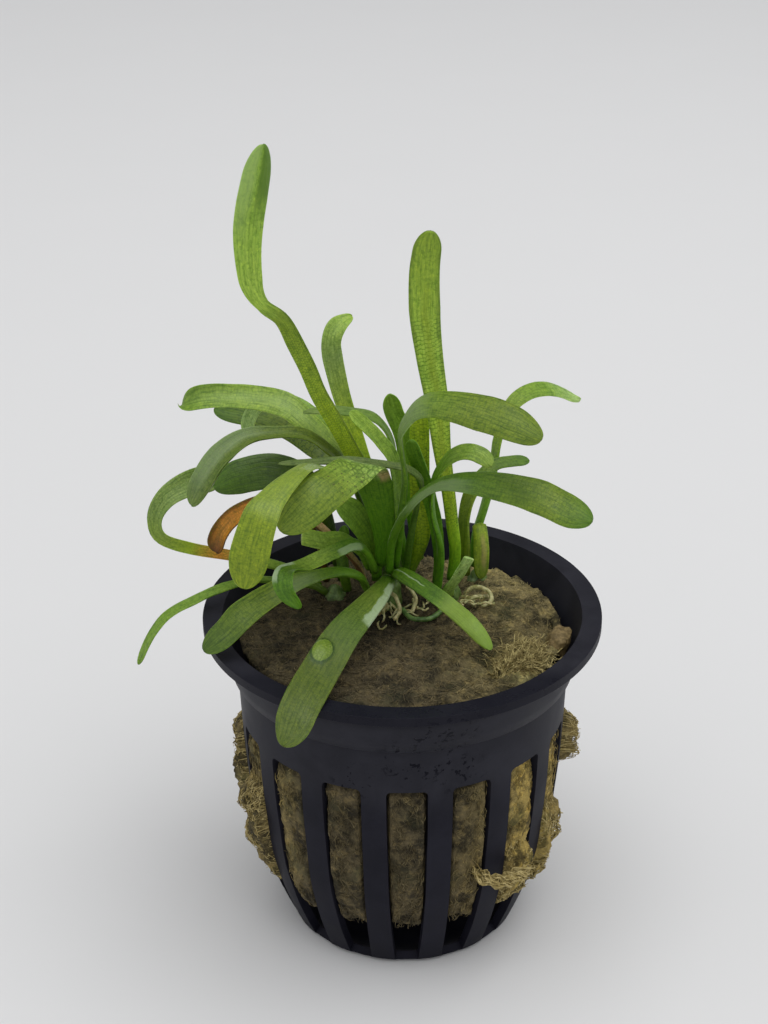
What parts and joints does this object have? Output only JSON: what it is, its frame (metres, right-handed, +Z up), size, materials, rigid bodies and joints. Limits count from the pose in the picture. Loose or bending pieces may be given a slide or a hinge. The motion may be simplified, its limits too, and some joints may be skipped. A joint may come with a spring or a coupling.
{
  "type": "potted aquarium plant",
  "caption": "Dwarf sagittaria with arching strap-shaped leaves, rooted in mineral wool in a black slotted net pot that stands on its flat base.",
  "frame": {"origin": "centre of the flat underside of the pot", "axes": "+Z up along the pot's axis, -Y towards the front, +X to the right seen from the front"},
  "size_m": [0.0643, 0.0625, 0.1141],
  "materials": {
    "pot": "black, satin and damp",
    "wool": "brown matted mineral wool, damp",
    "leaf": "mid green with lengthwise veins, wet sheen",
    "dark_leaf": "dark green with lengthwise veins, wet sheen",
    "dead_leaf": "orange brown, withered",
    "dead_stalk": "straw-coloured, dry",
    "crown": "pale green stem",
    "root": "pale yellow root",
    "runner": "pale green stem"
  },
  "bodies": {
    "root": {"net_pot": "pot", "wool_plug": "wool", "leaf_dead": "dead_leaf", "dead_stalk": "dead_stalk", "runner": "runner", "leaf_front_long": "leaf", "leaf_front_right": "leaf", "leaf_arch_lower": "leaf", "leaf_low_small": "leaf", "leaf_low_broad": "leaf", "leaf_cut_stub": "leaf", "leaf_broad_short": "leaf", "leaf_folded": "leaf", "leaf_arch_upper": "leaf", "leaf_bright": "leaf", "leaf_tall_left": "leaf", "leaf_upper_left": "leaf", "leaf_thin_arch": "leaf", "leaf_slanting": "leaf", "leaf_edge_on": "leaf", "leaf_ladder": "leaf", "leaf_back_left": "leaf", "leaf_under_left": "leaf", "leaf_hanging_tip": "leaf", "leaf_small_upright": "leaf", "leaf_tall_right": "leaf", "leaf_curled": "leaf", "leaf_right_stub": "leaf", "leaf_back_right": "leaf", "leaf_right_hanging": "leaf", "leaf_small_right": "leaf", "leaf_looped": "leaf", "leaf_far_left": "leaf", "leaf_dark_arch": "dark_leaf", "leaf_dark_upright": "dark_leaf", "leaf_dark_broad": "dark_leaf", "leaf_short_dark": "dark_leaf", "crown_front": "crown", "crown_middle": "crown", "crown_back": "crown", "crown_right": "crown", "crown_right_back": "crown", "crown_left": "crown", "root_front_left": "root", "root_front": "root", "root_front_right": "root", "root_right_loop": "root", "root_right_low": "root"}
  },
  "joints": []
}
